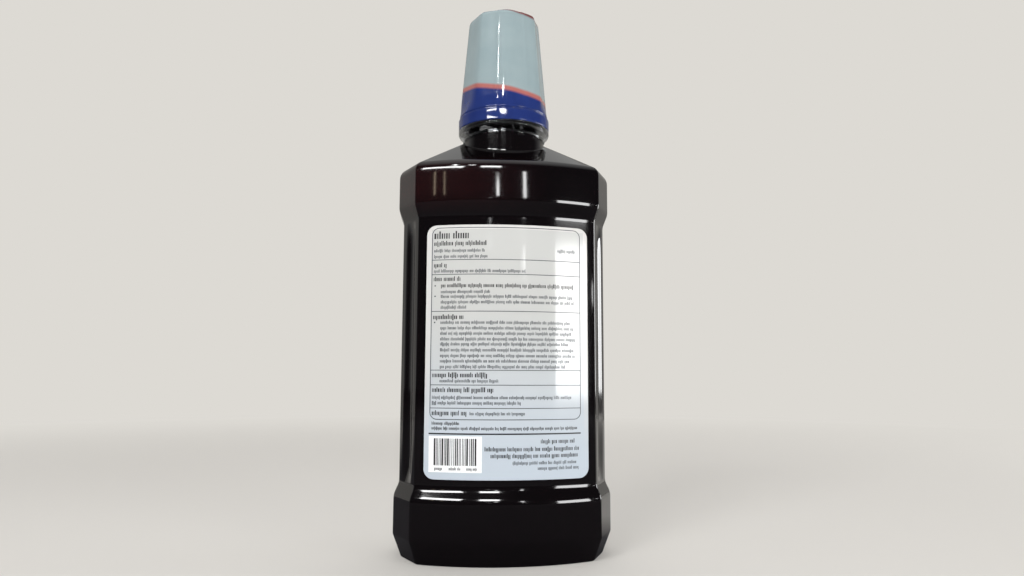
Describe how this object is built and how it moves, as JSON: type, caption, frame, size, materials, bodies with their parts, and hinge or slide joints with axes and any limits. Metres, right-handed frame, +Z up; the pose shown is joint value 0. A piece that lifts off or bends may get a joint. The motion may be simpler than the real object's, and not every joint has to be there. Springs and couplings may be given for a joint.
{
  "type": "mouthwash bottle",
  "caption": "Oblong mouthwash bottle with a recessed label panel, a screw-on tapered dosing cup for a cap and a shrink film seal.",
  "frame": {"origin": "middle of the foot, on the surface the bottle stands on", "axes": "+Z up along the neck, X along the wide faces, the drug information label on the -Y face"},
  "size_m": [0.081, 0.056, 0.2085],
  "materials": {
    "amber_pet": "glossy dark amber PET, near black in thick sections",
    "mouthwash_liquid": "clear reddish-brown liquid",
    "label_stock": "satin pale grey film label",
    "label_ink": "black flexographic ink",
    "clear_film": "glossy clear shrink film",
    "printed_film": "glossy shrink film printed grey-blue, red and deep blue",
    "polypropylene": "satin black polypropylene",
    "foam_liner": "matt foamed polyethylene"
  },
  "bodies": {
    "container": {"bottle": "amber_pet", "mouthwash": "mouthwash_liquid", "back_label": "label_stock", "front_label": "label_stock", "neck_sleeve": "clear_film"},
    "lifting_gasket": {"gasket": "foam_liner"},
    "cap": {"dose_cup": "polypropylene", "thread_ring": "polypropylene", "printed_sleeve": "printed_film"}
  },
  "joints": [
    {"name": "cap_lift", "type": "slide", "parent": "container", "child": "lifting_gasket", "axis": [0, 0, 1], "range_m": [0, 0.0168]},
    {"name": "cap_turn", "type": "hinge", "parent": "lifting_gasket", "child": "cap", "pos_m": [0, 0, 0.16], "axis": [0, 0, 1], "range_deg": [0, 1440]}
  ],
  "couplings": [
    {"joint": "cap_lift", "follows": "cap_turn", "m_per_rad": 0.000668}
  ]
}
